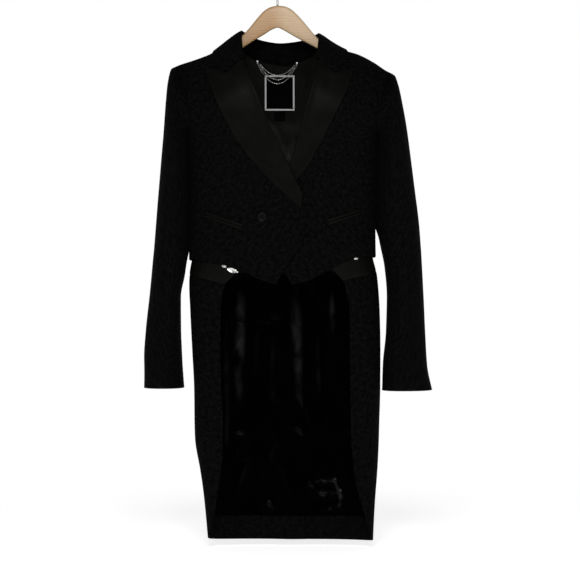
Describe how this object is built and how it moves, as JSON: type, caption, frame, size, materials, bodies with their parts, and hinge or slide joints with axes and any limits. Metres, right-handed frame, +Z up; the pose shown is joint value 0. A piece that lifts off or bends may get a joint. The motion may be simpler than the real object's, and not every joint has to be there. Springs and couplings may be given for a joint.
{
  "type": "tuxedo tailcoat on a hanger",
  "caption": "Black tuxedo tailcoat with peaked satin lapels and zip-on satin-lined tails, hung open at the neck on a wooden hanger.",
  "frame": {"origin": "top of the inside of the hanger's hook, where a rail holds it", "axes": "+Z up, -Y out of the coat's front, +X towards the wearer's left, which is the right of someone who faces it"},
  "size_m": [0.5382, 0.1769, 1.0646],
  "materials": {
    "black_wool": "matte twill",
    "black_satin": "satin",
    "black_lining": "smooth satin lining",
    "silver": "bright silver metal",
    "black_horn": "polished",
    "beech": "satin varnish"
  },
  "bodies": {
    "coat": {"back_left": "black_wool", "back_right": "black_wool", "button": "black_horn", "chain_end_1": "silver", "chain_end_2": "silver", "chain_strand_1": "silver", "chain_strand_2": "silver", "chain_strand_3": "silver", "collar_leaf": "black_wool", "collar_stand": "black_wool", "cuff_binding_left": "black_satin", "cuff_binding_right": "black_satin", "front_left": "black_wool", "front_right": "black_wool", "hanger": "beech", "hem_facing_left": "black_wool", "hem_facing_right": "black_wool", "hook": "silver", "lapel_left": "black_satin", "lapel_right": "black_satin", "lining_back": "black_lining", "neck_label": "black_lining", "pocket_jet_left_lower": "black_satin", "pocket_jet_left_upper": "black_satin", "pocket_jet_right_lower": "black_satin", "pocket_jet_right_upper": "black_satin", "side_left": "black_wool", "side_right": "black_wool", "size_tab": "black_lining", "sleeve_left_top": "black_wool", "sleeve_left_under": "black_wool", "sleeve_right_top": "black_wool", "sleeve_right_under": "black_wool", "tail_left_back": "black_wool", "tail_left_side": "black_wool", "tail_lining_left": "black_lining", "tail_lining_right": "black_lining", "tail_right_back": "black_wool", "tail_right_side": "black_wool", "waistband_left": "black_satin", "waistband_right": "black_satin", "zip_box": "silver", "zip_slider": "silver", "zip_tape": "black_satin"},
    "zip_pull": {"zip_pull": "silver"}
  },
  "joints": [
    {"name": "zip_pull_hinge", "type": "hinge", "parent": "coat", "child": "zip_pull", "pos_m": [-0.09279, -0.06824, -0.55067], "axis": [-0.3078, 0.0302, -0.951], "range_deg": [0, 100]}
  ]
}
